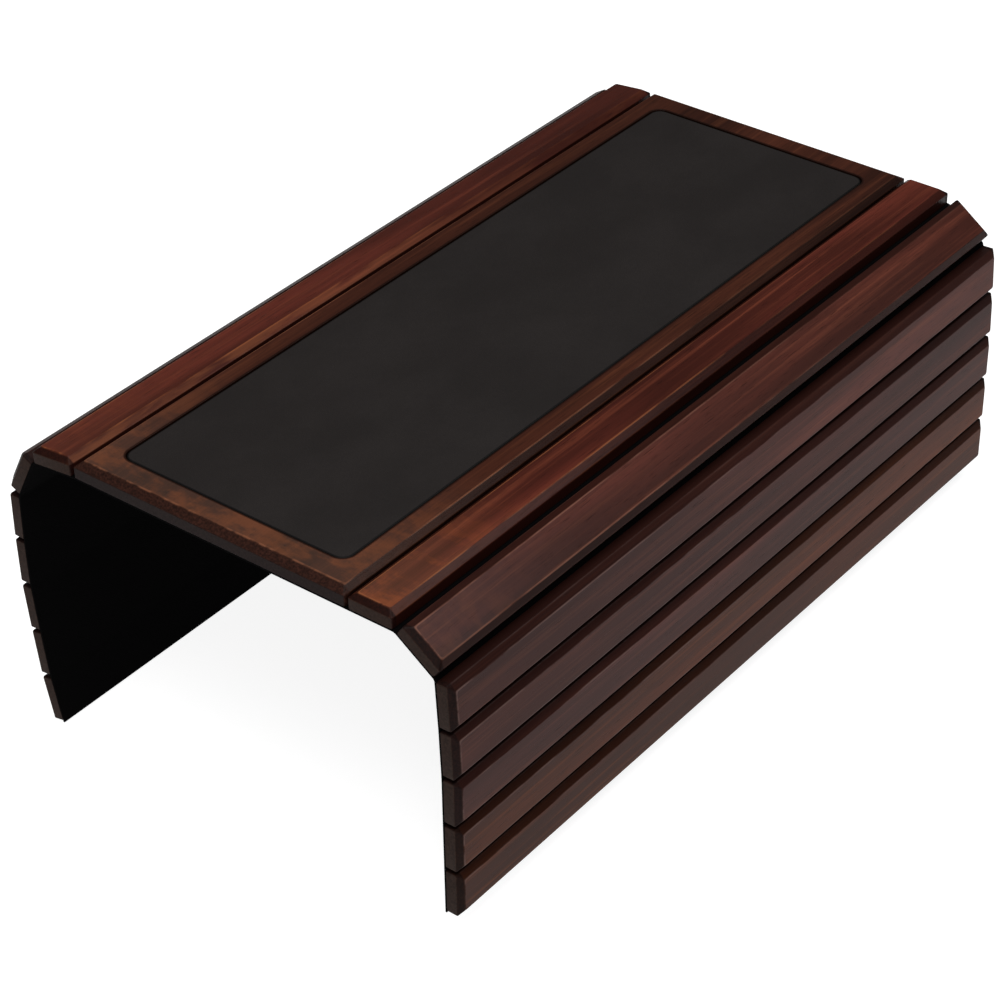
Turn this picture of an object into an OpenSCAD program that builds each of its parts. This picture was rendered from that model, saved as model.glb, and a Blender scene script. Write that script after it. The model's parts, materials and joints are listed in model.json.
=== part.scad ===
// Sofa arm tray: a wooden centre board with an inset pad and a row of slats on each side.
// One backing cloth under all the wood is the hinge between neighbours, so the slats drape
// over a sofa arm. The tray lies along Y, and z = 0 is the cloth's underside at the board.

/* [Board] */
// Width of the centre board, across the sofa arm
board_w = 156; // [140:1:172]
// Length of the board and of every slat, along the sofa arm
tray_l = 440; // [400:5:480]
// Width of the chamfer along the board's long edges
board_side_chamfer = 3; // [2:0.1:4]
// Width of the chamfer across the board's ends
board_end_chamfer = 4.2; // [3:0.1:5]

/* [Slats] */
// Distance from one cloth hinge to the next
slat_pitch = 25.5; // [23:0.5:28]
// Open gap between neighbouring slats when the tray lies flat
hinge_gap = 1.7; // [1.4:0.1:2.2]
// Width of the chamfer along a slat's long edges
slat_side_chamfer = 3.2; // [2:0.1:4]
// Width of the chamfer across a slat's ends
slat_end_chamfer = 3.1; // [2:0.1:4]

/* [Wood] */
// Thickness of the board and the slats
wood_t = 8.2; // [7:0.1:10]
// Height of the chamfers below the top face
chamfer_h = 2.6; // [2:0.1:3.4]

/* [Backing cloth] */
// Thickness of the backing cloth
cloth_t = 0.8; // [0.5:0.1:1]
// Free cloth width left open at each hinge line
cloth_split = 0.6; // [0.6:0.1:0.9]

/* [Inset pad] */
// Wood left beside the pad on each long side
pad_side_margin = 13; // [10:0.5:20]
// Wood left beyond the pad at each end
pad_end_margin = 16; // [12:0.5:24]
// Corner radius of the pad
pad_corner_r = 6.5; // [4:0.5:16]
// Depth of the recess milled for the pad
recess_depth = 2.2; // [1.5:0.1:3]
// Clearance between the pad's rim and the recess wall
pad_clearance = 0.5; // [0.2:0.1:0.8]
// How far the pad's face lies below the wood
pad_drop = 0.3; // [0:0.1:0.5]

/* [Right flap drape] */
// Bend of hinge 1 on the right, beside the board
right_bend_1 = 0; // [0:1:20]
// Bend of hinge 2 on the right
right_bend_2 = 36; // [0:1:50]
// Bend of hinge 3 on the right
right_bend_3 = 51; // [0:1:55]
// Bend of hinge 4 on the right
right_bend_4 = 1; // [0:1:5]
// Bend of hinge 5 on the right
right_bend_5 = 2; // [0:1:5]
// Bend of hinge 6 on the right
right_bend_6 = 0; // [0:1:5]
// Bend of hinge 7 on the right
right_bend_7 = 0; // [0:1:5]

/* [Left flap drape] */
// Bend of hinge 1 on the left, beside the board
left_bend_1 = 6; // [0:1:20]
// Bend of hinge 2 on the left
left_bend_2 = 57; // [0:1:60]
// Bend of hinge 3 on the left
left_bend_3 = 26; // [0:1:45]
// Bend of hinge 4 on the left
left_bend_4 = 2; // [0:1:5]
// Bend of hinge 5 on the left
left_bend_5 = 5; // [0:1:6]
// Bend of hinge 6 on the left
left_bend_6 = 1; // [0:1:5]
// Bend of hinge 7 on the left
left_bend_7 = 5; // [0:1:6]

/* [Hidden] */

$fn = 64;
slats = 7;
slat_w = slat_pitch - hinge_gap;
base_h = wood_t - chamfer_h;
slat_cloth_w = slat_pitch - cloth_split;
board_cloth_w = board_w + hinge_gap - cloth_split;
pad_w = board_w - 2 * pad_side_margin;
pad_l = tray_l - 2 * pad_end_margin;
pad_floor = cloth_t + wood_t - recess_depth;
pad_t = recess_depth - pad_drop;
right = 0;
left = 1;
bends = [
    [right_bend_1, right_bend_2, right_bend_3, right_bend_4, right_bend_5, right_bend_6, right_bend_7],
    [left_bend_1, left_bend_2, left_bend_3, left_bend_4, left_bend_5, left_bend_6, left_bend_7]
];
board_brown = "#4a2a20";
slat_browns = ["#5a2f1f", "#55291c", "#47302c", "#463029", "#48302c", "#503226", "#52352a"];
pad_black = "#262423";
cloth_black = "#0c0b0b";

// Slope of slat k below the board: the bends of all the hinges up to it.
function slope(side, k) = k == 0 ? 0 : slope(side, k - 1) + bends[side][k - 1];

// Place of hinge k in the section, as [x, z], before the left flap is mirrored.
function hinge_at(side, k) = k == 1
    ? [(board_w + hinge_gap) / 2, 0]
    : hinge_at(side, k - 1) + slat_pitch * [cos(slope(side, k - 1)), -sin(slope(side, k - 1))];

// Children drawn from x = 0 outwards are hung from hinge k of a flap.
module hung(side, k) {
    h = hinge_at(side, k);
    mirror([side, 0, 0])
        translate([h[0], 0, h[1]])
            rotate([0, slope(side, k), 0])
                children();
}

// Half outline of a plank: square walls below, a chamfer on each top edge.
module plank_outline(w, chamfer) {
    polygon([
        [-w / 2, 0], [w / 2, 0], [w / 2, base_h],
        [w / 2 - chamfer, wood_t], [chamfer - w / 2, wood_t], [-w / 2, base_h]
    ]);
}

// Plank along Y on the plane z = 0, chamfered along its sides and across its ends.
module plank(w, side_chamfer, end_chamfer) {
    intersection() {
        rotate([90, 0, 0])
            linear_extrude(tray_l, center = true)
                plank_outline(w, side_chamfer);
        rotate([90, 0, 90])
            linear_extrude(w, center = true)
                plank_outline(tray_l, end_chamfer);
    }
}

// Rectangle with round corners, centred.
module rounded_sheet(w, l, r) {
    square([w - 2 * r, l], center = true);
    square([w, l - 2 * r], center = true);
    for (x = [-1, 1], y = [-1, 1])
        translate([x * (w / 2 - r), y * (l / 2 - r)])
            circle(r);
}

// Centre board with the recess milled for the pad.
module centre_board() {
    color(board_brown)
        difference() {
            translate([0, 0, cloth_t])
                plank(board_w, board_side_chamfer, board_end_chamfer);
            translate([0, 0, pad_floor])
                linear_extrude(wood_t)
                    rounded_sheet(pad_w, pad_l, pad_corner_r);
        }
}

// Pad laid in the recess.
module inset_pad() {
    color(pad_black)
        translate([0, 0, pad_floor])
            linear_extrude(pad_t)
                rounded_sheet(pad_w - 2 * pad_clearance, pad_l - 2 * pad_clearance,
                    pad_corner_r - pad_clearance);
}

// Backing cloth glued under the board.
module centre_backing() {
    color(cloth_black)
        translate([-board_cloth_w / 2, -tray_l / 2, 0])
            cube([board_cloth_w, tray_l, cloth_t]);
}

// One wooden slat on its stretch of cloth.
module slat(side, k) {
    color(slat_browns[k - 1])
        hung(side, k)
            translate([slat_pitch / 2, 0, cloth_t])
                plank(slat_w, slat_side_chamfer, slat_end_chamfer);
}

// The stretch of backing cloth glued under one slat.
module slat_backing(side, k) {
    color(cloth_black)
        hung(side, k)
            translate([cloth_split / 2, -tray_l / 2, 0])
                cube([slat_cloth_w, tray_l, cloth_t]);
}

centre_board();
inset_pad();
centre_backing();
for (k = [1:slats]) {
    slat(right, k);
    slat(left, k);
    slat_backing(right, k);
    slat_backing(left, k);
}
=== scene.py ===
"""Sofa arm tray: a dark wooden centre board with an inset pad, and seven slats on each side.

All the wood is glued to one black backing cloth. The cloth is the hinge between neighbours, so the
slats drape over the sides of a sofa arm. Lengths are in metres and +Z is up. The tray lies along Y,
and z = 0 is the underside of the cloth at the board.
"""

import json
import logging
import math
from dataclasses import dataclass, field
from enum import Enum
from typing import Any

import bpy
import numpy as np
from mathutils import Matrix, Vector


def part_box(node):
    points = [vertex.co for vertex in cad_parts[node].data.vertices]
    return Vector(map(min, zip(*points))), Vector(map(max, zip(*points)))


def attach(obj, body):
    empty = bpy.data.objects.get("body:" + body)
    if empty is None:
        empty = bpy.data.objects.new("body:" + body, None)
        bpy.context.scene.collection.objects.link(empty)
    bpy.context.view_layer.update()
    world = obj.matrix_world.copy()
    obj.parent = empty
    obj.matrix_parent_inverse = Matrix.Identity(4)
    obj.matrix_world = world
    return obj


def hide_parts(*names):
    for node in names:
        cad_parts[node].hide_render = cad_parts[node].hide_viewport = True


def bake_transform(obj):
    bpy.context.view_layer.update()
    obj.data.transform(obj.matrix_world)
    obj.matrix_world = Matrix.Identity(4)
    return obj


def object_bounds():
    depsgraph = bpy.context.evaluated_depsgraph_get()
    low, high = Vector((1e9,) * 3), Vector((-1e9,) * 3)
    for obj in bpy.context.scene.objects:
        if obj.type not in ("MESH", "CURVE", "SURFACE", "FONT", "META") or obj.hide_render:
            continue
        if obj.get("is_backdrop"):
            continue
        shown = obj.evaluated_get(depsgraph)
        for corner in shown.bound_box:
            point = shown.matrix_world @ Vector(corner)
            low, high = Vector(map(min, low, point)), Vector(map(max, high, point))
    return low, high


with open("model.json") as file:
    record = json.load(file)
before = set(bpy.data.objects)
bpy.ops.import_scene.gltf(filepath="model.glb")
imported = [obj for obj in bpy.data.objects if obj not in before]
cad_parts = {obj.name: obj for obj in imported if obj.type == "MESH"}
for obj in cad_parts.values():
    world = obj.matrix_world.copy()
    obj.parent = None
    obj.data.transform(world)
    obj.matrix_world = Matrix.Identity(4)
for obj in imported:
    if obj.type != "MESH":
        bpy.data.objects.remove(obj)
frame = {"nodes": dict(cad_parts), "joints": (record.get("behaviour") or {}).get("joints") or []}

MM = 0.001
LOG = logging.getLogger("sofa_arm_tray")


# Shader maths


class Number:
    """A number socket of a shader, whose operators add Math nodes."""

    def __init__(self, sheet: "NodeSheet", socket: bpy.types.NodeSocket) -> None:
        """Wraps one output socket of a sheet of nodes."""
        self.sheet = sheet
        self.socket = socket

    def _math(self, operation: str, *terms: "Number | float") -> "Number":
        """Adds one Math node on the given terms."""
        made = self.sheet.node("ShaderNodeMath", {"operation": operation}, dict(enumerate(terms)))
        return Number(self.sheet, made.outputs[0])

    def __add__(self, other: "Number | float") -> "Number":
        """Sum of the two."""
        return self._math("ADD", self, other)

    __radd__ = __add__

    def __sub__(self, other: "Number | float") -> "Number":
        """Difference of the two."""
        return self._math("SUBTRACT", self, other)

    def __rsub__(self, other: float) -> "Number":
        """Difference of the two, with the plain number first."""
        return self._math("SUBTRACT", other, self)

    def __mul__(self, other: "Number | float") -> "Number":
        """Product of the two."""
        return self._math("MULTIPLY", self, other)

    __rmul__ = __mul__

    def __truediv__(self, other: "Number | float") -> "Number":
        """Quotient of the two."""
        return self._math("DIVIDE", self, other)

    def __pow__(self, power: float) -> "Number":
        """This number raised to a power."""
        return self._math("POWER", self, power)

    def __abs__(self) -> "Number":
        """Size of this number without its sign."""
        return self._math("ABSOLUTE", self)

    def sine(self) -> "Number":
        """Sine of this number, in radians."""
        return self._math("SINE", self)

    def between(self, low: float, high: float) -> "Number":
        """Smooth step of this number.

        Args:
            low: Where the step is still 0.
            high: Where the step has reached 1. It may lie below low, for a falling step.

        Returns:
            A number from 0 to 1 that follows t * t * (3 - 2 * t) in between.
        """
        inputs = {"Value": self, "From Min": low, "From Max": high}
        made = self.sheet.node("ShaderNodeMapRange", {"interpolation_type": "SMOOTHSTEP"}, inputs)
        return Number(self.sheet, made.outputs["Result"])


class NodeSheet:
    """The nodes of one material, laid down one call at a time."""

    def __init__(self, name: str) -> None:
        """Makes an empty material.

        Args:
            name: Name of the material.
        """
        self.material = bpy.data.materials.new(name)
        self.material.use_nodes = True
        self.tree = self.material.node_tree
        self.tree.nodes.clear()

    def node(
        self, kind: str, settings: dict[str, Any] | None = None, inputs: dict[Any, Any] | None = None
    ) -> bpy.types.Node:
        """Adds one node.

        Args:
            kind: Type name of the node.
            settings: Settings of the node, set before its sockets. The stops of a ramp are
                given as "stops", a list of (place, colour).
            inputs: A value or a link for each named or numbered socket.

        Returns:
            The new node.
        """
        made = self.tree.nodes.new(kind)
        for name, value in (settings or {}).items():
            if name == "stops":
                self._set_stops(made.color_ramp, value)
            else:
                setattr(made, name, value)
        for name, value in (inputs or {}).items():
            source = value.socket if isinstance(value, Number) else value
            if isinstance(source, bpy.types.NodeSocket):
                self.tree.links.new(source, made.inputs[name])
            else:
                made.inputs[name].default_value = source
        return made

    @staticmethod
    def _set_stops(ramp: bpy.types.ColorRamp, stops: list[tuple[float, tuple[float, ...]]]) -> None:
        """Writes the stops of a colour ramp, which starts with two."""
        for _ in stops[2:]:
            ramp.elements.new(0.5)
        for element, (place, colour) in zip(ramp.elements, stops):
            element.position = place
            element.color = (*colour, 1.0)

    def place(self, scale: tuple[float, ...], shift: tuple[float, ...] = (0, 0, 0)) -> bpy.types.NodeSocket:
        """Object coordinates, scaled and shifted.

        Args:
            scale: Scale along X, Y and Z, in cells per metre.
            shift: Shift of the pattern, in cells.

        Returns:
            The vector socket.
        """
        where = self.node("ShaderNodeTexCoord").outputs["Object"]
        return self.node("ShaderNodeMapping", None, {"Vector": where, "Scale": scale, "Location": shift}).outputs[0]

    def noise(self, where: bpy.types.NodeSocket, detail: float = 2, rough: float = 0.5, warp: float = 0) -> Number:
        """Noise at a place.

        Args:
            where: Vector socket, in cells.
            detail: Number of octaves.
            rough: Share of each finer octave.
            warp: How far the pattern is warped by itself.

        Returns:
            A number around 0.5.
        """
        inputs = {"Vector": where, "Scale": 1.0, "Detail": detail, "Roughness": rough, "Distortion": warp}
        return Number(self, self.node("ShaderNodeTexNoise", None, inputs).outputs["Fac"])

    def attribute(self, name: str) -> Number:
        """A number stored on the mesh's points."""
        return Number(self, self.node("ShaderNodeAttribute", {"attribute_name": name}).outputs["Fac"])

    def axis(self, where: bpy.types.NodeSocket, letter: str) -> Number:
        """One axis of a vector socket."""
        return Number(self, self.node("ShaderNodeSeparateXYZ", None, {0: where}).outputs[letter])

    def mix(self, share: "Number | float", first: Any, second: Any, way: str = "MIX") -> bpy.types.NodeSocket:
        """Mixes two colours.

        Args:
            share: How much of the second colour is taken.
            first: Colour, or a colour socket.
            second: Colour, or a colour socket.
            way: Blend type of the Mix node.

        Returns:
            The colour socket.
        """
        settings = {"data_type": "RGBA", "blend_type": way, "clamp_factor": True}
        made = self.node("ShaderNodeMix", settings, {0: share})
        for name, value in ((6, first), (7, second)):
            if isinstance(value, bpy.types.NodeSocket):
                self.tree.links.new(value, made.inputs[name])
            else:
                made.inputs[name].default_value = (*value, 1.0)
        return made.outputs[2]

    def bump(self, height: Number, depth: float, strength: float = 1.0) -> bpy.types.NodeSocket:
        """Normal of a surface whose height varies.

        Args:
            height: Height as a share of depth.
            depth: Depth of the relief, in metres.
            strength: Strength of the effect.

        Returns:
            The normal socket.
        """
        inputs = {"Height": height, "Distance": depth, "Strength": strength}
        return self.node("ShaderNodeBump", None, inputs).outputs[0]

    def surface(self, inputs: dict[str, Any]) -> bpy.types.Material:
        """Ends the sheet with a Principled BSDF.

        Args:
            inputs: A value or a link for each of its named sockets.

        Returns:
            The finished material.
        """
        shader = self.node("ShaderNodeBsdfPrincipled", None, inputs)
        self.node("ShaderNodeOutputMaterial", None, {"Surface": shader.outputs[0]})
        return self.material


# Finishes


@dataclass(frozen=True)
class StainedWood:
    """Dark walnut stain under a satin lacquer, on straight-grained wood that runs along Y.

    Attributes:
        deep: Colour of the darkest grain.
        body: Main colour.
        warm: Colour of the lighter, redder streaks.
        worn_and_sheen: Colour of the rubbed arrises, partly wear and partly a painted highlight, and of the painted
            sheen on the near end.
        sawn: Colour of the saw-cut ends.
        soaked: Colour of the end chamfers, as a share of the darkest grain's.
        half_length: Half the length of the piece.
        end_chamfer: Width of the chamfer across its ends, where the end grain starts.
        near_end_sheen: How much lighter the near end is painted, a painted sheen where more light falls on it.
        seed: Shift that gives each piece its own grain.
    """

    deep: tuple[float, float, float]
    body: tuple[float, float, float]
    warm: tuple[float, float, float]
    worn_and_sheen: tuple[float, float, float]
    sawn: tuple[float, float, float]
    soaked: float
    half_length: float
    end_chamfer: float
    near_end_sheen: float
    seed: float

    def material(self, name: str) -> bpy.types.Material:
        """Lays down the grain, the end grain, the lacquer, stain and wear, and painted shade, highlight and sheen.

        Args:
            name: Name of the material.

        Returns:
            The finished material.
        """
        sheet = NodeSheet(name)
        shift = (self.seed * 3.7, self.seed * 1.9, self.seed * 5.3)
        bands = sheet.noise(sheet.place((42, 2.0, 42), shift), 3, 0.55, 0.5)
        streaks = sheet.noise(sheet.place((330, 4.5, 330), shift), 4, 0.6, 0.3)
        fibres = sheet.noise(sheet.place((1700, 38, 1700), shift), 2, 0.6)
        cloud = sheet.noise(sheet.place((9, 5, 9), shift), 2)
        pores = sheet.noise(sheet.place((2600, 95, 2600), shift), 1).between(0.62, 0.74)

        colour = sheet.mix(bands.between(0.34, 0.66), self.deep, self.body)
        colour = sheet.mix(streaks.between(0.48, 0.78) * 0.52, colour, self.warm)
        colour = sheet.mix((1 - fibres).between(0.42, 0.7) * 0.45, colour, self.deep)
        colour = sheet.mix(pores * 0.6, colour, tuple(0.35 * c for c in self.deep))
        shade = sheet.mix(cloud.between(0.3, 0.72), (0.78, 0.76, 0.76), (1.16, 1.12, 1.1))
        colour = sheet.mix(1.0, colour, shade, "MULTIPLY")

        # Darkening from stain gathered on the chamfers, and painted shade on the walls and in the recess.
        gathered_stain_and_shade = sheet.attribute("stain")
        colour = sheet.mix(gathered_stain_and_shade * 0.9, colour, tuple(0.3 * c for c in self.deep))

        along = sheet.axis(sheet.place((1, 1, 1)), "Y")
        # Painted sheen: the near end is mixed towards a paler, greyer colour, standing in for the light it catches.
        near = (along * -1 + 0.03 * (bands - 0.5)).between(0.5 * self.half_length, self.half_length)
        mottle = sheet.noise(sheet.place((26, 42, 26), shift), 5, 0.7).between(0.42, 0.6)
        near_sheen_colour = sheet.mix(mottle, tuple(f * c for f, c in zip((0.3, 0.55, 0.85), self.worn_and_sheen)), self.worn_and_sheen)
        colour = sheet.mix(near * (1 - gathered_stain_and_shade) * self.near_end_sheen, colour, near_sheen_colour)

        reach = abs(along)
        bevel_starts = self.half_length - self.end_chamfer
        ends = reach.between(bevel_starts, bevel_starts + 0.8 * MM)
        cut = reach.between(self.half_length - 0.25 * MM, self.half_length - 0.05 * MM)
        speckle = sheet.noise(sheet.place((900, 900, 900), shift), 3, 0.7)
        pale_soak = tuple(self.soaked * c for c in self.deep)
        soaked = sheet.mix(speckle.between(0.35, 0.7), tuple(0.3 * c for c in pale_soak), pale_soak)
        bare = sheet.mix(speckle.between(0.3, 0.7), tuple(0.45 * c for c in self.sawn), self.sawn)
        colour = sheet.mix(ends * 0.92, colour, sheet.mix(cut, soaked, bare))

        # Lighter arrises: partly wear, partly a painted highlight along the edges, stronger towards the near end.
        patches = sheet.noise(sheet.place((160, 22, 160), shift), 3, 0.6)
        toward_near_end = 0.25 + 0.75 * along.between(0.6 * self.half_length, -0.5 * self.half_length)
        wear = sheet.attribute("wear") * patches.between(0.36, 0.62) * toward_near_end
        colour = sheet.mix(wear * (1 - ends * 0.8) * 0.48, colour, self.worn_and_sheen)

        rough = 0.4 + 0.12 * (streaks - 0.5) + 0.1 * (cloud - 0.5) + ends * 0.2 + pores * 0.1
        relief = fibres * 0.35 + streaks * 0.4 - pores * 0.5 + speckle * ends * 0.4
        return sheet.surface(
            {
                "Base Color": colour,
                "Roughness": rough,
                "IOR": 1.46,
                "Specular IOR Level": 0.05,
                "Coat Weight": 0.025,
                "Coat Roughness": 0.2,
                "Normal": sheet.bump(relief, 0.1 * MM, 0.5),
            }
        )


@dataclass(frozen=True)
class GrainedPad:
    """Matte charcoal leatherette with a fine pebble grain.

    Attributes:
        body: Main colour.
        pale: Colour of the slightly rubbed clouds.
    """

    body: tuple[float, float, float] = (0.0116, 0.0096, 0.0091)
    pale: tuple[float, float, float] = (0.0150, 0.0125, 0.0119)

    def material(self, name: str) -> bpy.types.Material:
        """Lays down the clouded colour, the pebble grain, and painted shade in its creases and round its edge.

        Args:
            name: Name of the material.

        Returns:
            The finished material.
        """
        sheet = NodeSheet(name)
        cloud = sheet.noise(sheet.place((20, 14, 20), (2.0, 5.0, 1.0)), 5, 0.62)
        fleck = sheet.noise(sheet.place((1500, 1500, 1500)), 2)
        cells = {"Vector": sheet.place((1150, 1150, 1150)), "Scale": 1.0}
        pebble = sheet.node("ShaderNodeTexVoronoi", {"feature": "DISTANCE_TO_EDGE"}, cells)
        crease = Number(sheet, pebble.outputs["Distance"]).between(0.0, 0.3)
        colour = sheet.mix(cloud.between(0.35, 0.7), self.body, self.pale)
        # Painted shade in the creases of the pebble grain.
        colour = sheet.mix((1 - crease) * 0.35, colour, tuple(0.55 * c for c in self.body))
        # Painted shade: the pad's rounded edge is darkened to a near-black line, for the shaded gap to the recess.
        colour = sheet.mix(sheet.attribute("wear"), colour, tuple(0.1 * c for c in self.body))
        return sheet.surface(
            {
                "Base Color": colour,
                "Roughness": 0.56 + 0.12 * (cloud - 0.5) + 0.08 * fleck,
                "IOR": 1.45,
                "Specular IOR Level": 0.12,
                "Normal": sheet.bump(crease * 0.8 + fleck * 0.3, 0.06 * MM, 0.45),
            }
        )


@dataclass(frozen=True)
class BackingWeave:
    """Black plain-weave cloth. Its UV map is in metres, across and along the tray.

    Attributes:
        thread: Colour of the threads.
        hollow_shade: Colour between the threads, darker as painted shade.
        pitch: Distance from one thread to the next.
    """

    thread: tuple[float, float, float] = (0.0020, 0.0019, 0.0020)
    hollow_shade: tuple[float, float, float] = (0.0006, 0.0005, 0.0006)
    pitch: float = 0.7 * MM

    def material(self, name: str) -> bpy.types.Material:
        """Lays down the over-and-under of the threads as a product of two sines.

        Args:
            name: Name of the material.

        Returns:
            The finished material.
        """
        sheet = NodeSheet(name)
        where = sheet.node("ShaderNodeUVMap", {"uv_map": "cloth"}).outputs[0]
        turn = math.pi / self.pitch
        across = (sheet.axis(where, "X") * turn).sine()
        along = (sheet.axis(where, "Y") * turn).sine()
        weave = across * along * 0.5 + 0.5
        fluff = sheet.noise(sheet.place((700, 700, 700)), 3, 0.6)
        # Painted shade between the threads: the hollows of the weave are darker.
        colour = sheet.mix(weave * 0.7 + fluff * 0.3, self.hollow_shade, self.thread)
        return sheet.surface(
            {
                "Base Color": colour,
                "Roughness": 0.95,
                "Specular IOR Level": 0.02,
                "Normal": sheet.bump(weave * 0.7 + fluff * 0.5, 0.12 * MM, 0.6),
            }
        )


@dataclass(frozen=True)
class StudioPaper:
    """Seamless pale paper.

    Attributes:
        tint: Colour of the paper.
        glow: Light that the paper passes on from a lamp below it.
    """

    tint: tuple[float, float, float] = (0.32, 0.32, 0.32)
    glow: float = 0.87

    def material(self, name: str) -> bpy.types.Material:
        """Lays down a plain paper with a very faint cloud in it.

        Args:
            name: Name of the material.

        Returns:
            The finished material.
        """
        sheet = NodeSheet(name)
        cloud = sheet.noise(sheet.place((2, 2, 2)), 2)
        colour = sheet.mix(cloud * 0.1, self.tint, tuple(0.9 * c for c in self.tint))
        return sheet.surface(
            {
                "Base Color": colour,
                "Roughness": 0.9,
                "Specular IOR Level": 0.1,
                "Emission Color": (1.0, 1.0, 1.0, 1.0),
                "Emission Strength": self.glow,
            }
        )


# Mesh makers


@dataclass(frozen=True)
class Arris:
    """One corner of an outline that is rounded off.

    Attributes:
        inset: How far the corner lies inside the piece's widest outline.
        height: Height of the corner.
        radius: Radius of its rounding.
        rubbed_and_painted_light: How rubbed the rounding is, from 0 to 1. On the wood it also sets a painted
            highlight, on the pad a painted shade.
    """

    inset: float
    height: float
    radius: float = 0.0
    rubbed_and_painted_light: float = 0.0


@dataclass(frozen=True)
class Outline:
    """A rounded outline, ready to be carried round a piece.

    Attributes:
        points: Its points, as (inset, height) rows.
        wear: How rubbed each point is, from 0 to 1. On the wood it also sets a painted highlight, on the pad a
            painted shade.
        flat: Number of the flat that each point lies on, counted from 0. Round an arris it runs
            evenly from one flat's number to the next.
    """

    points: np.ndarray
    wear: np.ndarray
    flat: np.ndarray

    def shade(self, values: list[float]) -> np.ndarray:
        """A number for each point, from the values on the flats."""
        return np.interp(self.flat, np.arange(len(values)), values)


def rounded_outline(corners: list[Arris], guard: float, steps: int = 4) -> Outline:
    """Carries an outline round its arrises.

    Each corner of radius r becomes an arc that touches both of its sides at r * tan(turn / 2)
    from the corner, and a point a guard's width before and after it keeps the flat faces flat.

    Args:
        corners: Corners from the first to the last, in order.
        guard: Width of the flat strip that is kept beside each arc.
        steps: Number of faces round each arc.

    Returns:
        The rounded outline.
    """
    spots = np.array([(c.inset, c.height) for c in corners])
    share = np.linspace(0, 1, steps + 1)[:, None]
    points, flat, wear = [spots[:1]], [np.zeros(1)], [np.zeros(1)]
    for number, (before, here, after, corner) in enumerate(zip(spots[:-2], spots[1:-1], spots[2:], corners[1:-1])):
        into = (here - before) / np.linalg.norm(here - before)
        out = (after - here) / np.linalg.norm(after - here)
        turn = math.acos(float(np.clip(into @ out, -1, 1)))
        reach = corner.radius * math.tan(turn / 2)
        swept = turn * share
        side = out - into * math.cos(turn)
        side = side / np.linalg.norm(side)
        arc = here - into * reach + corner.radius * (np.sin(swept) * into + (1 - np.cos(swept)) * side)
        points += [here - into * (reach + guard), arc, here + out * (reach + guard)]
        flat += [np.full(1, number), number + share[:, 0], np.full(1, number + 1)]
        wear += [np.zeros(1), np.full(steps + 1, corner.rubbed_and_painted_light), np.zeros(1)]
    points.append(spots[-1:])
    flat.append(np.full(1, len(spots) - 2))
    wear.append(np.zeros(1))
    return Outline(np.vstack(points), np.concatenate(wear), np.concatenate(flat))


def rounded_rings(
    half_w: np.ndarray, half_l: np.ndarray, radius: np.ndarray, height: np.ndarray, steps: int
) -> np.ndarray:
    """Rounded rectangles, one over the other, as a grid of points.

    A point at angle a of the corner in quarter q is that corner's centre plus radius * (cos a, sin a).

    Args:
        half_w: Half the width of each ring.
        half_l: Half the length of each ring.
        radius: Corner radius of each ring.
        height: Height of each ring.
        steps: Number of points round each corner.

    Returns:
        Points of shape (rings, 4 * steps, 3), anticlockwise from above.
    """
    quarter = np.repeat(np.arange(4), steps)
    angle = quarter * math.pi / 2 + np.tile(np.linspace(0, math.pi / 2, steps), 4)
    side_x = np.array([1, -1, -1, 1])[quarter]
    side_y = np.array([1, 1, -1, -1])[quarter]
    x = side_x * (half_w - radius)[:, None] + radius[:, None] * np.cos(angle)
    y = side_y * (half_l - radius)[:, None] + radius[:, None] * np.sin(angle)
    z = np.broadcast_to(height[:, None], x.shape)
    return np.stack([x, y, z], axis=-1)


def grid_faces(rows: int, columns: int) -> np.ndarray:
    """Four-sided faces between the rows of a grid whose columns close round.

    Args:
        rows: Number of rows.
        columns: Number of points in each row.

    Returns:
        Point numbers of shape (faces, 4).
    """
    start = np.arange(rows - 1)[:, None] * columns
    here = np.arange(columns)[None, :]
    beside = (here + 1) % columns
    corners = [start + here, start + beside, start + columns + beside, start + columns + here]
    return np.stack([c.ravel() for c in corners], axis=1)


def make_mesh(
    name: str, points: np.ndarray, faces: list, marks: dict[str, np.ndarray] | None = None
) -> bpy.types.Object:
    """Puts a surface into a smooth-shaded mesh object.

    Args:
        name: Name of the piece.
        points: Its points, one per row.
        faces: Its faces, as lists of point numbers.
        marks: Named numbers from 0 to 1 for each point, which its finish reads.

    Returns:
        The object, at the origin.
    """
    mesh = bpy.data.meshes.new(name)
    mesh.from_pydata(points.reshape(-1, 3).tolist(), [], faces)
    mesh.polygons.foreach_set("use_smooth", np.ones(len(mesh.polygons), bool))
    for mark, values in (marks or {}).items():
        mesh.attributes.new(mark, "FLOAT", "POINT").data.foreach_set("value", values.astype(np.float32))
    mesh.update()
    made = bpy.data.objects.new(name, mesh)
    bpy.context.scene.collection.objects.link(made)
    return made


def make_block(name: str, rings: np.ndarray, marks: dict[str, np.ndarray]) -> bpy.types.Object:
    """Closes a stack of rings with a face at each end.

    Args:
        name: Name of the piece.
        rings: Points of shape (rings, columns, 3), from its underside to its top.
        marks: Named numbers from 0 to 1 for each ring, or for each of its points, which its
            finish reads.

    Returns:
        The object.
    """
    rows, columns = rings.shape[:2]
    faces = grid_faces(rows, columns).tolist()
    faces.append(list(range(columns))[::-1])
    faces.append(list(range((rows - 1) * columns, rows * columns)))
    spread = {
        mark: np.broadcast_to(values.reshape(rows, -1), (rows, columns)).ravel()
        for mark, values in marks.items()
    }
    return make_mesh(name, rings, faces, spread)


def dress(piece: bpy.types.Object, material: bpy.types.Material, nodes: list[str]) -> None:
    """Gives a piece its finish and hides the solids that it stands for.

    Args:
        piece: The finished piece.
        material: Its material.
        nodes: The solids that it stands for.
    """
    piece.data.materials.append(material)
    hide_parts(*nodes)


# The tray


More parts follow.
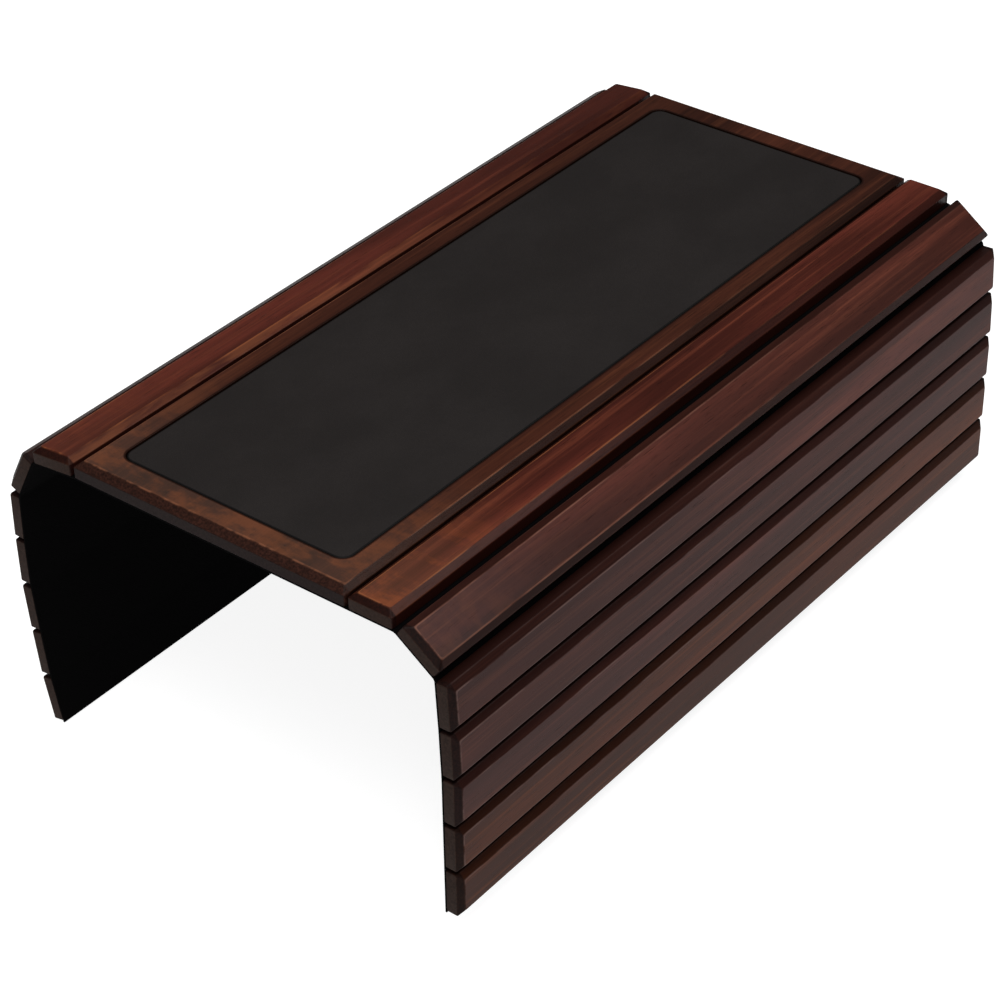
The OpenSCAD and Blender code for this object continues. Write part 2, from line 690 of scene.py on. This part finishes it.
class Side(Enum):
    """The two flaps of the tray, seen from its near end."""

    RIGHT = "right"
    LEFT = "left"


@dataclass(frozen=True)
class Station:
    """Where one plank's section lies: its hinge line, the way it runs and the way it faces.

    Attributes:
        hinge: A point on the hinge line.
        run: Direction from this hinge to the next.
        face: Direction in which the wood faces.
        along: Direction of the hinge line, so that run, along and face turn the right way.
    """

    hinge: np.ndarray
    run: np.ndarray
    face: np.ndarray
    along: np.ndarray

    def to_tray(self, points: np.ndarray) -> np.ndarray:
        """Turns points of the section (run, along, face) into the tray's frame."""
        return self.hinge + points @ np.stack([self.run, self.along, self.face])

    def from_tray(self, points: np.ndarray) -> np.ndarray:
        """Turns points of the tray's frame into the section's (run, along, face)."""
        return (points - self.hinge) @ np.stack([self.run, self.along, self.face]).T


def solid_points(node: str) -> np.ndarray:
    """All the points of a solid, one per row."""
    mesh = frame["nodes"][node].data
    flat = np.empty(len(mesh.vertices) * 3)
    mesh.vertices.foreach_get("co", flat)
    return flat.reshape(-1, 3)


@dataclass
class Plank:
    """The section that the board and the slats share: square walls with a chamfer above.

    Attributes:
        side_chamfer: Width of the chamfer along the long edges.
        end_chamfer: Width of the chamfer across the ends.
        chamfer_height: Height of both chamfers.
        arris: Radius of the rounded edges between the faces, which carry the wear and the painted highlight.
        foot_arris: Radius of the edges at the cloth.
        corner: Radius of the upright corners.
        guard: Flat strip beside each rounding.
    """

    side_chamfer: float
    end_chamfer: float
    chamfer_height: float = 2.6 * MM
    arris: float = 0.6 * MM
    foot_arris: float = 0.3 * MM
    corner: float = 0.9 * MM
    guard: float = 0.35 * MM

    def shoulders(self, thickness: float) -> list[Arris]:
        """Corners of the outline from the underside to the edge of the top face.

        Args:
            thickness: Thickness of the plank.

        Returns:
            Five corners. The last lies on the top face, a little inside the chamfer.
        """
        return [
            Arris(1.2 * MM, 0),
            Arris(0, 0, self.foot_arris),
            # The rubbing marks on these arrises lighten them: partly wear, partly a painted highlight.
            Arris(0, thickness - self.chamfer_height, self.arris, rubbed_and_painted_light=0.15),
            Arris(self.side_chamfer, thickness, self.arris, rubbed_and_painted_light=1.0),
            Arris(self.side_chamfer + 1.2 * MM, thickness),
        ]

    @staticmethod
    def marks(outline: Outline) -> dict[str, np.ndarray]:
        """Where the outline is rubbed, with a painted highlight, and where it is darkened: its chamfers by stain,
        its walls by painted shade.
        """
        # Underside, wall, chamfer, top face: the dark underside and walls are painted shade between the planks, the
        # chamfers hold stain.
        return {"wear": outline.wear, "stain": outline.shade([1.0, 1.0, 0.82, 0.0])}

    def rings(self, outline: np.ndarray, half_w: float, half_l: float, steps: int) -> np.ndarray:
        """Carries the outline round the plank.

        A ring's width is the plank's less twice the outline's inset. Its length takes the inset
        times the ratio of the end chamfer to the side chamfer.

        Args:
            outline: Points as (inset, height) rows.
            half_w: Half the plank's width.
            half_l: Half the plank's length.
            steps: Number of points round each upright corner.

        Returns:
            Points of shape (rings, 4 * steps, 3).
        """
        inset, height = outline.T
        radius = np.full(len(inset), self.corner)
        end_inset = inset * self.end_chamfer / self.side_chamfer
        return rounded_rings(half_w - inset, half_l - end_inset, radius, height, steps)


@dataclass
class CentreBoard:
    """The centre board, with the recess that its pad lies in, and the pad.

    Attributes:
        plank: The board's section.
        pad_corner: Corner radius of the recess.
        pad_clearance: Gap between the pad's rim and the recess wall.
        recess_arris: Radius of the recess's edge.
        pad_arris: Radius of the pad's edge.
        corner_steps: Number of points round each corner.
    """

    plank: Plank = field(default_factory=lambda: Plank(3 * MM, 4.2 * MM))
    pad_corner: float = 6.5 * MM
    pad_clearance: float = 0.5 * MM
    recess_arris: float = 0.3 * MM
    pad_arris: float = 0.7 * MM
    corner_steps: int = 12

    def build_board(self) -> bpy.types.Object:
        """Carries the outline up the board's wall, over its face and down into the recess.

        Returns:
            The board.
        """
        low, high = (np.array(c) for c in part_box("centre_board"))
        pad_low, pad_high = (np.array(c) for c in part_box("inset_pad"))
        half_w, half_l = (high - low)[:2] / 2
        thickness = high[2] - low[2]
        floor = pad_low[2] - low[2]
        recess_w, recess_l = (pad_high - pad_low)[:2] / 2 + self.pad_clearance

        outline = rounded_outline(self.plank.shoulders(thickness), self.plank.guard)
        outer = self.plank.rings(outline.points, half_w, half_l, self.corner_steps)
        lip = [
            Arris(-1.2 * MM, thickness),
            Arris(0, thickness, self.recess_arris),
            Arris(0, floor, 0.1 * MM),
            Arris(1.2 * MM, floor),
        ]
        inlet = rounded_outline(lip, self.plank.guard)
        inset, height = inlet.points.T
        inner = rounded_rings(
            recess_w - inset, recess_l - inset, self.pad_corner - inset, height, self.corner_steps
        )
        rings = np.concatenate([outer, inner])
        rings[..., 2] += low[2]
        marks = self.plank.marks(outline)
        # Painted shade in the recess: its rim, wall and floor are darkened.
        inlet_marks = {"wear": inlet.wear, "stain": inlet.shade([0.9, 1.0, 1.0])}
        inlet_marks["stain"][0] = 0
        marks = {name: np.concatenate([values, inlet_marks[name]]) for name, values in marks.items()}
        return make_block("centre_board_wood", rings, marks)

    def build_pad(self) -> bpy.types.Object:
        """Carries the outline from the pad's underside round its soft edge to its face.

        Returns:
            The pad.
        """
        low, high = (np.array(c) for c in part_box("inset_pad"))
        half_w, half_l = (high - low)[:2] / 2
        thickness = high[2] - low[2]
        corners = [
            Arris(1 * MM, 0),
            Arris(0, 0, 0.15 * MM),
            # This arris's rubbing mark paints a near-black line round the pad: painted shade of the gap to the
            # recess.
            Arris(0, thickness, self.pad_arris, rubbed_and_painted_light=1.0),
            Arris(2 * MM, thickness),
        ]
        outline = rounded_outline(corners, self.plank.guard)
        inset, height = outline.points.T
        radius = self.pad_corner - self.pad_clearance - inset
        rings = rounded_rings(half_w - inset, half_l - inset, radius, height + low[2], self.corner_steps)
        return make_block("inset_pad_leatherette", rings, {"wear": outline.wear})

    def build(self) -> list[bpy.types.Object]:
        """Builds and dresses the board and the pad.

        Returns:
            The two pieces.
        """
        board = self.build_board()
        half_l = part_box("centre_board")[1][1]
        wood = StainedWood(
            deep=(0.0180, 0.0060, 0.0038),
            body=(0.0440, 0.0132, 0.0074),
            warm=(0.0950, 0.0310, 0.0140),
            worn_and_sheen=(0.19, 0.072, 0.036),
            sawn=(0.0145, 0.0082, 0.0076),
            soaked=1.7,
            half_length=half_l,
            end_chamfer=self.plank.end_chamfer,
            near_end_sheen=0.36,
            seed=11.0,
        )
        dress(board, wood.material("board_walnut"), ["centre_board"])
        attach(board, "board")
        pad = self.build_pad()
        dress(pad, GrainedPad().material("pad_leatherette"), ["inset_pad"])
        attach(pad, "board")
        return [board, pad]


@dataclass
class Flap:
    """One flap: seven slats and the backing cloth that hinges them to the board.

    Attributes:
        side: Which flap it is.
        plank: The slats' section.
        corner_steps: Number of points round each upright corner.
        lap: How far the first stretch of cloth reaches under the board.
        fold_reach: How far from the hinge line the cloth starts to bend.
        fold_steps: Number of faces round each fold of the cloth.
    """

    side: Side
    plank: Plank = field(default_factory=lambda: Plank(3.2 * MM, 3.1 * MM))
    corner_steps: int = 4
    lap: float = 12 * MM
    fold_reach: float = 1.3 * MM
    fold_steps: int = 10

    def __post_init__(self) -> None:
        """Finds the hinges and the way each slat runs from the frame."""
        joints = {j["name"]: j for j in frame["joints"]}
        name = self.side.value
        outwards = 1.0 if self.side is Side.RIGHT else -1.0
        self.along = np.array([0, outwards, 0])
        self.count = sum(1 for j in joints if j.startswith(name))
        board_run = np.array([outwards, 0, 0])
        hinges = [np.array(joints[f"{name}_hinge_{k}"]["pos_m"], float) for k in range(1, self.count + 1)]
        self.stations = [self._station(hinges[0], board_run)]
        for k, hinge in enumerate(hinges, 1):
            self.stations.append(self._station(hinge, self._run_of(f"{name}_backing_{k}", hinge)))

    def _station(self, hinge: np.ndarray, run: np.ndarray) -> Station:
        """Station at a hinge, with the wood on its outer side."""
        return Station(hinge, run, np.cross(run, self.along), self.along)

    @staticmethod
    def _run_of(node: str, hinge: np.ndarray) -> np.ndarray:
        """Direction in which a flat strip runs away from its hinge.

        The strip's section is much longer than it is thick, so its main axis is the run.

        Args:
            node: The strip's solid.
            hinge: A point on its hinge line.

        Returns:
            A unit vector square to Y.
        """
        section = solid_points(node)[:, [0, 2]]
        section = np.unique(np.round(section, 7), axis=0)
        middle = section.mean(axis=0)
        _, _, axes = np.linalg.svd(section - middle)
        run = axes[0] * np.sign(axes[0] @ (middle - hinge[[0, 2]]))
        return np.array([run[0], 0, run[1]])

    def build_slat(self, k: int) -> bpy.types.Object:
        """Carries the slat's outline round it and hangs it at its hinge.

        The left flap's first slat gets a painted sheen on its chamfer beside the board: less stain and more of the
        lighter rubbed colour.

        Args:
            k: Number of the slat, from the board outwards.

        Returns:
            The slat.
        """
        node = f"{self.side.value}_slat_{k}"
        local = self.stations[k].from_tray(solid_points(node))
        low, high = local.min(axis=0), local.max(axis=0)
        half_w, half_l, thickness = (high[0] - low[0]) / 2, (high[1] - low[1]) / 2, high[2] - low[2]
        outline = rounded_outline(self.plank.shoulders(thickness), self.plank.guard)
        rings = self.plank.rings(outline.points, half_w, half_l, self.corner_steps)
        marks = self.plank.marks(outline)
        # Painted sheen on the board-side chamfer of the left flap's first slat.
        if k == 1 and self.side is Side.LEFT:
            painted_sheen_chamfer = outline.shade([0.0, 0.0, 1.0, 0.0])[:, None] * (rings[..., 0] < 0)
            marks["wear"] = np.maximum(marks["wear"][:, None], 0.5 * painted_sheen_chamfer)
            marks["stain"] = marks["stain"][:, None] * (1 - painted_sheen_chamfer)
        rings += np.array([(low[0] + high[0]) / 2, 0, low[2]])
        return make_block(f"{node}_wood", self.stations[k].to_tray(rings), marks)

    def build_fold(self, k: int, before: float, after: float, thickness: float, half_l: float) -> bpy.types.Object:
        """The stretch of cloth that crosses hinge k.

        The cloth's middle line is straight under both planks, and between them a curve whose point
        at t is (1 - t)^2 * start + 2 * t * (1 - t) * corner + t^2 * end. Both faces lie half a
        thickness from it, and the section is carried along the hinge line.

        Args:
            k: Number of the hinge.
            before: How far the cloth reaches back from the hinge.
            after: How far it reaches on from the hinge.
            thickness: Thickness of the cloth.
            half_l: Half its length.

        Returns:
            The stretch of cloth, with its UV map in metres.
        """
        here, there = self.stations[k - 1], self.stations[k]
        hinge = there.hinge
        reach = self.fold_reach
        lift = thickness / 2
        start = hinge - here.run * reach + here.face * lift
        end = hinge + there.run * reach + there.face * lift
        corner = hinge + lift * (here.face + there.face) / (1 + here.face @ there.face)
        t = np.linspace(0, 1, self.fold_steps + 1)[:, None]
        curve = (1 - t) ** 2 * start + 2 * t * (1 - t) * corner + t**2 * end
        course = 2 * (1 - t) * (corner - start) + 2 * t * (end - corner)
        first = hinge - here.run * before + here.face * lift
        last = hinge + there.run * after + there.face * lift
        middle = np.vstack([first, curve, last])
        course = np.vstack([here.run, course, there.run])
        course /= np.linalg.norm(course, axis=1, keepdims=True)
        face = np.cross(course, self.along)
        steps = np.linalg.norm(np.diff(middle, axis=0), axis=1)
        distance = np.concatenate([[0], np.cumsum(steps)]) + k * 25.5 * MM
        section = np.concatenate([middle + face * lift, (middle - face * lift)[::-1]])
        across = np.concatenate([distance, distance[::-1]])
        rows = np.stack([section - self.along * half_l, section + self.along * half_l])
        return make_cloth(f"{self.side.value}_cloth_{k}", rows, across, half_l)

    def wood_of(self, k: int, half_l: float) -> StainedWood:
        """The tone of slat k: red beside the board, greyer below, and brown in the lowest two."""
        tones = {
            1: ((0.0340, 0.0080, 0.0053), (0.088, 0.0190, 0.0120), (0.150, 0.0390, 0.0200)),
            2: ((0.0250, 0.0074, 0.0052), (0.068, 0.0175, 0.0115), (0.122, 0.0370, 0.0205)),
        }
        below = ((0.0300, 0.0096, 0.0074), (0.071, 0.0205, 0.0152), (0.126, 0.0415, 0.0245))
        lowest = ((0.0290, 0.0084, 0.0040), (0.072, 0.0175, 0.0062), (0.132, 0.0385, 0.0105))
        deep, body, warm = tones.get(k, below if k < self.count - 1 else lowest)
        lift = 1 + 0.1 * math.sin(2.3 * k + (0 if self.side is Side.RIGHT else 1.1))
        body = tuple(lift * c for c in body)
        seed = float(k + (0 if self.side is Side.RIGHT else 20))
        # Painted sheen on the near ends of the first slats, and the colour of the rubbed arrises with their painted
        # highlight.
        near_end_sheen = {1: 0.34 if self.side is Side.RIGHT else 0.08, 2: 0.12}.get(k, 0.0)
        worn_and_sheen = {1: (0.24, 0.080, 0.030), 2: (0.18, 0.080, 0.054)}.get(k, (0.13, 0.080, 0.070))
        sawn = (0.0260, 0.0140, 0.0100)
        return StainedWood(deep, body, warm, worn_and_sheen, sawn, 0.4, half_l, self.plank.end_chamfer, near_end_sheen, seed)

    def build(self, cloth: bpy.types.Material) -> list[bpy.types.Object]:
        """Builds and dresses the flap's slats and its cloth.

        Args:
            cloth: The backing cloth's material.

        Returns:
            The pieces.
        """
        name = self.side.value
        strip_low, strip_high = (np.array(c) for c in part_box("centre_backing"))
        thickness, half_l = strip_high[2] - strip_low[2], strip_high[1]
        pitch = float(np.linalg.norm(self.stations[2].hinge - self.stations[1].hinge))
        tail = self.stations[-1].from_tray(solid_points(f"{name}_backing_{self.count}"))[:, 0].max()
        made = []
        for k in range(1, self.count + 1):
            slat = self.build_slat(k)
            body = f"{name}_{k}"
            dress(slat, self.wood_of(k, half_l).material(f"{name}_walnut_{k}"), [f"{name}_slat_{k}"])
            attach(slat, body)

            before = self.lap if k == 1 else pitch / 2
            after = tail if k == self.count else pitch / 2
            fold = self.build_fold(k, before, after, thickness, half_l)
            dress(fold, cloth, [f"{name}_backing_{k}"])
            here, there = self.stations[k - 1], self.stations[k]
            start = there.hinge - here.run * self.fold_reach
            end = there.hinge + there.run * self.fold_reach
            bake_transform(fold)
            before + after
            made += [slat, fold]
        return made


def make_cloth(name: str, rows: np.ndarray, across: np.ndarray, half_l: float) -> bpy.types.Object:
    """Closes a cloth section that is carried along the tray, and gives it a UV map in metres.

    Args:
        name: Name of the piece.
        rows: Points of shape (2, section, 3): the section at one end and at the other. Its first
            half is the upper face, and its second half the lower face on the way back.
        across: Distance of each section point along the cloth.
        half_l: Half the length of the tray.

    Returns:
        The stretch of cloth.
    """
    count = rows.shape[1]
    half = count // 2
    faces = grid_faces(2, count)[:, ::-1]
    upper = np.arange(half - 1)
    lower = count - 1 - upper
    cap = np.stack([upper, upper + 1, lower - 1, lower], axis=1)
    faces = np.concatenate([faces, cap, cap[:, ::-1] + count])
    cloth = make_mesh(name, rows, faces.tolist())
    cloth.data.polygons.foreach_set("use_smooth", np.zeros(len(cloth.data.polygons), bool))
    corner = np.empty(len(cloth.data.loops), np.int32)
    cloth.data.loops.foreach_get("vertex_index", corner)
    far = corner >= count
    uv = np.stack([across[corner % count], np.where(far, half_l, -half_l)], axis=1)
    cloth.data.uv_layers.new(name="cloth").data.foreach_set("uv", uv.ravel().astype(np.float32))
    return cloth


@dataclass
class CentreCloth:
    """The stretch of backing cloth under the middle of the board.

    Attributes:
        lap: Width at each edge that the flaps' first stretches cover.
    """

    lap: float

    def build(self, cloth: bpy.types.Material, board: bpy.types.Object, hinge_x: float) -> bpy.types.Object:
        """Builds and dresses the cloth.

        Args:
            cloth: The backing cloth's material.
            board: The board that it is glued to. Not used.
            hinge_x: Distance of the first hinges from the middle.

        Returns:
            The cloth.
        """
        low, high = (np.array(c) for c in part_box("centre_backing"))
        half_l = high[1]
        x = np.array([-1, 1]) * (hinge_x - self.lap)
        top = np.stack([x, np.zeros(2), np.full(2, high[2])], axis=1)
        under = np.stack([x[::-1], np.zeros(2), np.full(2, low[2])], axis=1)
        section = np.concatenate([top, under])
        along = np.array([0, half_l, 0])
        made = make_cloth("centre_cloth", np.stack([section - along, section + along]), section[:, 0], half_l)
        dress(made, cloth, ["centre_backing"])
        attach(made, "board")
        x[1] - x[0]
        return made


# The studio


@dataclass(frozen=True)
class Softbox:
    """One rectangular lamp, aimed at a point.

    Attributes:
        name: Name of the lamp.
        place: Where it stands.
        aim: What it points at.
        size: Its width and height.
        power: Its power, in watts.
        tint: Its colour.
    """

    name: str
    place: tuple[float, float, float]
    aim: tuple[float, float, float]
    size: tuple[float, float]
    power: float
    tint: tuple[float, float, float] = (1.0, 1.0, 1.0)

    def build(self) -> bpy.types.Object:
        """Puts the lamp into the scene.

        Returns:
            The lamp.
        """
        lamp = bpy.data.lights.new(self.name, "AREA")
        lamp.shape = "RECTANGLE"
        lamp.size, lamp.size_y = self.size
        lamp.energy = self.power
        lamp.color = self.tint
        made = bpy.data.objects.new(self.name, lamp)
        back = np.array(self.place, float) - np.array(self.aim, float)
        made.matrix_world = aimed(np.array(self.place, float), back, np.array([0, 0, 1.0]))
        bpy.context.scene.collection.objects.link(made)
        return made


def aimed(place: np.ndarray, back: np.ndarray, up: np.ndarray) -> Matrix:
    """Matrix of an object whose -Z looks away from back and whose Y lies near up.

    Args:
        place: Where the object stands.
        back: Direction opposite to the one it looks in.
        up: Direction that its Y comes nearest to.

    Returns:
        The object's matrix.
    """
    z = back / np.linalg.norm(back)
    x = np.cross(up, z)
    x /= np.linalg.norm(x)
    matrix = np.eye(4)
    matrix[:3, :3] = np.stack([x, np.cross(z, x), z], axis=1)
    matrix[:3, 3] = place
    return Matrix(matrix.tolist())


@dataclass
class Studio:
    """The camera at the photograph's angle, the paper and the soft lights.

    Attributes:
        camera_place: Where the camera stands.
        camera_back: Direction opposite to the one it looks in.
        camera_up: Direction of its own Y.
        lens: Focal length, on a sensor 36 mm wide.
        paper_reach: Half the width of the paper.
        sky: Brightness of the room.
    """

    camera_place: tuple[float, float, float] = (0.7247, -0.9330, 0.7324)
    camera_back: tuple[float, float, float] = (0.50655, -0.64055, 0.57715)
    camera_up: tuple[float, float, float] = (-0.34647, 0.46174, 0.81655)
    lens: float = 105.1
    paper_reach: float = 40.0
    sky: float = 0.12

    def build_camera(self) -> bpy.types.Object:
        """Puts up the camera.

        Returns:
            The camera.
        """
        data = bpy.data.cameras.new("camera")
        data.lens = self.lens
        data.sensor_width = 36
        data.clip_end = 100
        made = bpy.data.objects.new("camera", data)
        made.matrix_world = aimed(*(np.array(v) for v in (self.camera_place, self.camera_back, self.camera_up)))
        bpy.context.scene.collection.objects.link(made)
        bpy.context.scene.camera = made
        return made

    def build_lights(self) -> None:
        """Sets the room's light and the softboxes."""
        world = bpy.data.worlds.new("room")
        world.use_nodes = True
        world.node_tree.nodes["Background"].inputs[0].default_value = (1.0, 1.0, 1.0, 1.0)
        world.node_tree.nodes["Background"].inputs[1].default_value = self.sky
        bpy.context.scene.world = world
        bpy.context.scene.view_settings.view_transform = "Standard"
        Softbox("overhead", (0.2, -0.5, 2.3), (0, 0, 0), (2.0, 2.0), 64).build()
        Softbox("front", (0.9, -1.7, 1.1), (0, 0, -0.05), (1.2, 1.2), 12).build()
        Softbox("back_right", (0.95, 1.0, 1.65), (0, -0.1, 0), (0.7, 0.6), 14).build()

    def build_paper(self, height: float) -> bpy.types.Object:
        """Lays the paper that the tray stands on.

        Args:
            height: Height of the paper.

        Returns:
            The paper.
        """
        x, y = np.meshgrid(*[np.linspace(-self.paper_reach, self.paper_reach, 9)] * 2)
        points = np.stack([x, y, np.full_like(x, height)], axis=-1)
        index = np.arange(81).reshape(9, 9)
        corners = [index[:-1, :-1], index[:-1, 1:], index[1:, 1:], index[1:, :-1]]
        paper = make_mesh("paper", points, np.stack([c.ravel() for c in corners], axis=1).tolist())
        paper.data.materials.append(StudioPaper().material("pale_paper"))
        paper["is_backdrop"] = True
        return paper


def main() -> None:
    """Builds the studio and the tray."""
    logging.basicConfig(level=logging.INFO, format="%(name)s: %(message)s")
    solids = [list(corner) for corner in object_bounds()]
    studio = Studio()
    studio.build_camera()
    studio.build_lights()

    cloth = BackingWeave().material("black_backing")
    board_parts = CentreBoard().build()
    flaps = [Flap(side) for side in Side]
    pieces = board_parts + [piece for flap in flaps for piece in flap.build(cloth)]
    hinge_x = abs(float(flaps[0].stations[1].hinge[0]))
    pieces.append(CentreCloth(flaps[0].lap).build(cloth, board_parts[0], hinge_x))
    for piece in pieces:
        LOG.info("%s: %d faces", piece.name, len(piece.data.polygons))

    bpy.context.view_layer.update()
    studio.build_paper(solids[0][2])


if __name__ == "__main__":
    main()
